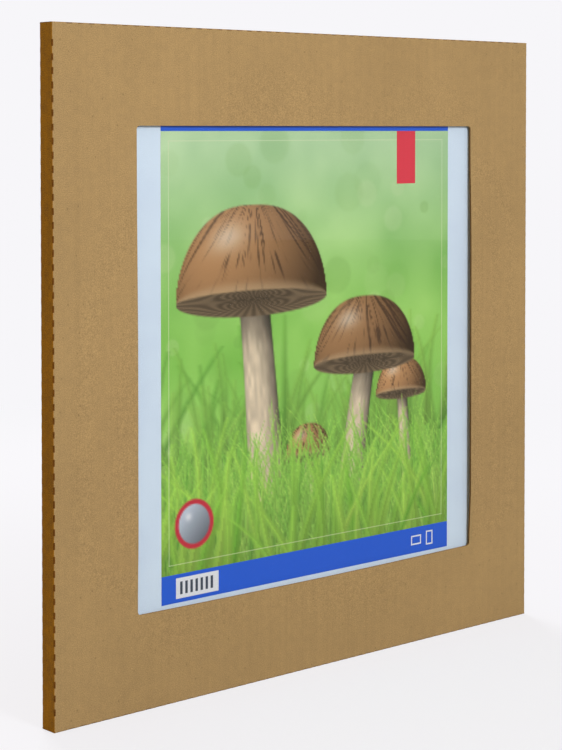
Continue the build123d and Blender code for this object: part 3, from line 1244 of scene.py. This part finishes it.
def print_fields(width, height, inks):
    """Plain fields with sharp edges, each as its low and high corner, ink and cover."""
    art = settings("art")
    blue, red = inks["band_blue"], inks["tab_red"]
    band = art.band / MM
    upper = height - art.top_band / MM
    inset = art.border_inset / MM
    line = art.border_width / MM
    right, low, top = width - inset, band + inset, upper - inset
    border = (BORDER_PALE, 0.55)
    tab_left, tab_right, tab_drop = width - 62, width - 40, 44
    field_left, field_right, field_gap = 14, 56, 3
    fields = [
        (inset, low, right, low + line, *border),
        (inset, top - line, right, top, *border),
        (inset, low, inset + line, top, *border),
        (right - line, low, right, top, *border),
        (0, 0, width, band, blue, 1),
        (0, upper, width, height, blue, 1),
        (tab_left, upper - tab_drop, tab_right, upper, red, 1),
        (field_left, field_gap, field_right, band - field_gap, FIELD_WHITE, 1),
    ]
    # Seven even bars on the white field
    bar_starts, bar, margin = range(18, 53, 5), 2.4, 6
    for start in bar_starts:
        fields.append((start, margin, start + bar, band - margin, BAR_GREY, 1))
    # Two empty outlines, one wide and one tall
    stroke = 1.2
    outlines = ((width - 44, 12, 8), (width - 26, 8, 12))
    for start, wide, tall in outlines:
        end, foot, head = start + wide, band / 2 - tall / 2, band / 2 + tall / 2
        fields.append((start, foot, end, head, FIELD_WHITE, 1))
        fields.append((start + stroke, foot + stroke, end - stroke, head - stroke, blue, 1))
    return fields


def painted_sheet(width, height):
    """Grid lines of the print and the colours of its cells' corners, row by row from below."""
    art = settings("art")
    inks = {ink: display(getattr(art, ink)) for ink in INKS}
    fields = print_fields(width, height, inks)
    columns = print_lines(width, art.cell_width / MM, fields, axis=0)
    rows = print_lines(height, art.cell_height / MM, fields, axis=1)
    canvas = Canvas(columns, rows)
    draws = np.random.default_rng(art.seed)
    paint_background(canvas, inks, draws)
    paint_grass(
        canvas, inks, draws, count=art.blades // 5, feet=(20, 110), heights=(50, 110),
        widths=(1.5, 3.5), soft=7, tint=(-18, -22, -8),
    )
    for mushroom in MUSHROOMS:
        paint_mushroom(canvas, inks, *mushroom)
    paint_grass(
        canvas, inks, draws, count=art.blades, feet=(0, 46), heights=(40, 105),
        widths=(0.8, 1.9), soft=1.3,
    )
    paint_grass(
        canvas, inks, draws, count=art.blades // 12, feet=(-10, 20), heights=(60, 120),
        widths=(2.5, 5), soft=5, tint=(8, 6, -6),
    )
    paint_badge(canvas, inks, centre=(32, 58), radius=19)
    corners = canvas.colour.reshape(-1, 3)[grid_faces(*canvas.x.shape)[0]]
    for low_x, low_z, high_x, high_z, tone, cover in fields:
        up, across = cells_between(rows, low_z, high_z), cells_between(columns, low_x, high_x)
        area = np.ix_(up, across)
        corners[area] += (tone - corners[area]) * cover
    return columns, rows, linear(np.clip(corners, 0, 255))


def print_mesh():
    """The printed sheet: a grid in front that carries the ink, a rim and a plain back."""
    art = settings("art")
    slip = Vector((art.slip_right, 0, -art.slip_down))
    low, high = [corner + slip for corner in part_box("label_insert")]
    columns, rows, ink = painted_sheet((high.x - low.x) / MM, (high.z - low.z) / MM)
    x, z = np.meshgrid(low.x + columns * MM, low.z + rows * MM)
    front = np.dstack((x, np.full(x.shape, low.y), z)).reshape(-1, 3)
    quads, rim = grid_faces(*x.shape)
    quads = quads.reshape(-1, 4)[:, ::-1]
    behind = front[rim] + (0, high.y - low.y, 0)
    back = len(front) + np.arange(len(rim))
    after = np.roll(back, -1)
    centre = np.full(len(rim), len(front) + len(rim))
    points = np.concatenate((front, behind, [((low.x + high.x) / 2, high.y, (low.z + high.z) / 2)]))
    sides = np.stack((rim, back, after, np.roll(rim, -1)), axis=-1)
    fan = np.stack((back, centre, after), axis=-1)
    mesh = new_mesh("printed_sheet", points, quads.tolist() + sides.tolist() + fan.tolist())
    colours = np.ones((len(mesh.loops), 4))
    colours[: 4 * len(quads), :3] = ink[:, :, ::-1].reshape(-1, 3)
    layer = mesh.color_attributes.new("ink", "FLOAT_COLOR", "CORNER")
    layer.data.foreach_set("color", colours.ravel())
    return mesh


# Operators, one for each piece or group of like pieces

def place_piece(name, mesh, node, body):
    """Adds a piece that stands for a node, which it hides, and rides on a body."""
    piece = new_object(name, mesh)
    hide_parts(node)
    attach(piece, body)


def dress(node, material):
    """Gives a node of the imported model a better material."""
    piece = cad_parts[node]
    if not piece.material_slots:
        piece.data.materials.append(material)
    for slot in piece.material_slots:
        slot.material = material


class CLIPFRAME_OT_front_panel(Operator):
    """Build the carton's front panel with its window"""

    bl_idname = "clip_frame.front_panel"
    bl_label = "Front panel"

    def execute(self, context):
        mesh = front_panel_mesh()
        place_piece("front_panel_board", mesh, "carton_front_panel", ROOT)
        return {"FINISHED"}


class CLIPFRAME_OT_walls(Operator):
    """Build the carton's four narrow walls"""

    bl_idname = "clip_frame.walls"
    bl_label = "Walls"

    def execute(self, context):
        for side in SIDES:
            wall = f"{side}_wall"
            place_piece(f"{wall}_board", wall_mesh(side), f"carton_{wall}", wall)
        return {"FINISHED"}


class CLIPFRAME_OT_flaps(Operator):
    """Build the carton's four back flaps"""

    bl_idname = "clip_frame.flaps"
    bl_label = "Back flaps"

    def execute(self, context):
        for side in SIDES:
            flap = f"{side}_flap"
            place_piece(f"{flap}_board", flap_mesh(side), f"carton_{flap}", flap)
        return {"FINISHED"}


class CLIPFRAME_OT_creases(Operator):
    """Build the perforated creases"""

    bl_idname = "clip_frame.creases"
    bl_label = "Creases"

    def execute(self, context):
        radius = settings("carton").fold_radius
        for order, (side, (inward, _)) in enumerate(SIDES.items()):
            for rear in (False, True):
                mesh = crease_mesh(side, rear, seed=10 * order + rear)
                piece = new_object(f"{side}_{'rear' if rear else 'front'}_crease", mesh)
                if rear:
                    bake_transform(piece)
                else:
                    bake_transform(piece)
        return {"FINISHED"}


class CLIPFRAME_OT_glazing(Operator):
    """Build the clear acrylic pane with its broken edges"""

    bl_idname = "clip_frame.glazing"
    bl_label = "Glazing"

    def execute(self, context):
        low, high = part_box("acrylic_glazing")
        look = settings("frame")
        pane = bmesh.new()
        bmesh.ops.create_cube(pane, size=1)
        bmesh.ops.scale(pane, vec=high - low, verts=pane.verts)
        bmesh.ops.translate(pane, vec=(low + high) / 2, verts=pane.verts)
        bmesh.ops.bevel(
            pane, geom=pane.edges[:], offset=look.pane_bevel, segments=2, profile=0.5,
            affect="EDGES",
        )
        mesh = written(pane, bpy.data.meshes.new("acrylic_pane"))
        mesh.materials.append(pane_finish("clear_pane", look.pane_tint))
        place_piece("acrylic_pane", mesh, "acrylic_glazing", ROOT)
        return {"FINISHED"}


class CLIPFRAME_OT_insert(Operator):
    """Build the printed insert behind the glazing"""

    bl_idname = "clip_frame.insert"
    bl_label = "Printed insert"

    def execute(self, context):
        mesh = print_mesh()
        mesh.materials.append(print_finish("coated_print"))
        place_piece("printed_sheet", mesh, "label_insert", ROOT)
        return {"FINISHED"}


class CLIPFRAME_OT_sheets(Operator):
    """Finish the white mount sheet and the hardboard back"""

    bl_idname = "clip_frame.sheets"
    bl_label = "Mount sheet and back"

    def execute(self, context):
        look = settings("frame")
        dress("mount_sheet", paper_finish("white_sheet", look.sheet_white))
        dress("backing_board", hardboard_finish("pressed_hardboard", look.hardboard_brown))
        return {"FINISHED"}


class CLIPFRAME_OT_clips(Operator):
    """Finish the eight spring clips"""

    bl_idname = "clip_frame.clips"
    bl_label = "Spring clips"

    def execute(self, context):
        steel = steel_finish("bright_spring_steel", settings("frame").steel_grey)
        for node in CLIPS:
            dress(node, steel)
        return {"FINISHED"}


# Stage

def stage_floor():
    """A pale floor that keeps the object's shadow and runs out into the background."""
    tone = tuple(settings("stage").background)
    reach, segments = 6.0, 96
    sheet = bmesh.new()
    bmesh.ops.create_circle(sheet, cap_ends=True, segments=segments, radius=reach)
    mesh = written(sheet, bpy.data.meshes.new("floor"))
    finish = Finish("pale_floor")
    away = finish.add("ShaderNodeVectorMath", {0: finish.place}, operation="LENGTH")["Value"]
    behind = finish.remap(finish.split(finish.place)["Y"], (-0.05, 0.05))
    by_camera, by_glass = finish.sights()
    seen = finish.math("MAXIMUM", by_camera, finish.math("MULTIPLY", by_glass, behind))
    # Grey where it only lights the object, and dark in what metal and glass mirror from in front
    unseen_grey, glass_grey = (0.38, 0.36, 0.33), (0.1, 0.1, 0.1)
    base = finish.mix(seen, finish.mix(by_glass, unseen_grey, glass_grey), tone)
    finish.set(Base_Color=base, Roughness=0.9, Specular_IOR_Level=0.0)
    # Its glow hides most of the shadow near the object, and all of it farther off
    near_share = 0.8
    glow = finish.add("ShaderNodeEmission", {"Color": tone})[0]
    share = finish.math("MULTIPLY", seen, finish.remap(away, (0.5, 1.5), (near_share, 1.0)))
    finish.choice(share, finish.shader.outputs[0], glow)
    mesh.materials.append(finish.material)
    floor = new_object("floor", mesh)


def stage_world():
    """The pale background for the camera, metal and glass, and soft light from all around."""
    stage = settings("stage")
    dim_room = 0.2
    world = bpy.data.worlds.new("studio")
    bpy.context.scene.world = world
    world.use_nodes = True
    wiring = Wiring(world.node_tree)
    way = wiring.split(wiring.add("ShaderNodeTexCoord")["Generated"])
    ambient = wiring.tree.nodes["Background"]
    from_left = wiring.remap(wiring.math("MULTIPLY", way["X"], -1), (0.3, 0.9))
    wiring.feed(ambient.inputs["Color"], wiring.mix(from_left, (1, 1, 1), tuple(stage.bounce)))
    wiring.feed(ambient.inputs["Strength"], stage.ambient)
    # The room in front of the object is dim, for what metal and glass mirror
    by_camera, by_glass = wiring.sights()
    room = wiring.remap(way["Y"], (-0.4, 0.2), (dim_room, 1.0))
    feeds = {"Color": tuple(stage.background), "Strength": wiring.math("MAXIMUM", by_camera, room)}
    backdrop = wiring.add("ShaderNodeBackground", feeds)[0]
    wiring.choice(wiring.math("MAXIMUM", by_camera, by_glass), ambient.outputs[0], backdrop)


def aimed(name, data, place, aim):
    """A lamp or camera at a place, pointing at an aim."""
    holder = new_object(name, data)
    holder.location = place
    holder.rotation_euler = (Vector(aim) - Vector(place)).to_track_quat("-Z", "Y").to_euler()
    return holder


def stage_lamp(name):
    """One of the soft square lamps in the settings, pointing at the middle of the carton."""
    stage = settings("stage")
    lamp = bpy.data.lights.new(f"{name}_lamp", "AREA")
    lamp.color = stage.lamp_tint
    lamp.energy = getattr(stage, f"{name}_power")
    lamp.size = getattr(stage, f"{name}_size")
    aimed(f"{name}_lamp", lamp, getattr(stage, f"{name}_place"), (0, 0, MIDDLE))


def stage_camera():
    """The camera at the photograph's angle."""
    stage = settings("stage")
    lens = bpy.data.cameras.new("camera")
    lens.sensor_width = stage.sensor
    lens.lens = stage.focal_length
    lens.shift_x, lens.shift_y = stage.shift
    bpy.context.scene.camera = aimed("camera", lens, stage.camera_place, stage.camera_aim)


class CLIPFRAME_OT_stage(Operator):
    """Set up the floor, the lamps and the camera"""

    bl_idname = "clip_frame.stage"
    bl_label = "Stage"

    def execute(self, context):
        context.scene.view_settings.view_transform = "Standard"
        stage_floor()
        stage_world()
        for name in ("key", "back", "side"):
            stage_lamp(name)
        stage_camera()
        return {"FINISHED"}


# Add-on

OPERATORS = (
    CLIPFRAME_OT_front_panel, CLIPFRAME_OT_walls, CLIPFRAME_OT_flaps, CLIPFRAME_OT_creases,
    CLIPFRAME_OT_glazing, CLIPFRAME_OT_insert, CLIPFRAME_OT_sheets, CLIPFRAME_OT_clips,
    CLIPFRAME_OT_stage,
)
GROUPS = {
    "carton": CartonSettings, "art": PrintSettings, "frame": FrameSettings, "stage": StageSettings,
}


class CLIPFRAME_PT_pieces(Panel):
    """Lists the pieces and their settings"""

    bl_idname = "CLIPFRAME_PT_pieces"
    bl_label = "Clip frame"
    bl_space_type = "VIEW_3D"
    bl_region_type = "UI"
    bl_category = "Clip frame"

    def draw(self, context):
        for operator in OPERATORS:
            self.layout.operator(operator.bl_idname)
        for group in GROUPS:
            box = self.layout.box()
            values = settings(group)
            for name in values.bl_rna.properties.keys():
                if name not in ("rna_type", "name"):
                    box.prop(values, name)


CLASSES = (*GROUPS.values(), *OPERATORS, CLIPFRAME_PT_pieces)


def register():
    """Registers the classes and hangs the settings on the scene."""
    for entry in CLASSES:
        bpy.utils.register_class(entry)
    for group, kind in GROUPS.items():
        setattr(bpy.types.Scene, "clip_frame_" + group, PointerProperty(type=kind))


def unregister():
    """Takes the settings and the classes away again."""
    for group in GROUPS:
        delattr(bpy.types.Scene, "clip_frame_" + group)
    for entry in reversed(CLASSES):
        bpy.utils.unregister_class(entry)


def main():
    """Builds every piece and the stage."""
    register()
    for operator in OPERATORS:
        group, name = operator.bl_idname.split(".")
        getattr(getattr(bpy.ops, group), name)()


if __name__ == "__main__":
    main()
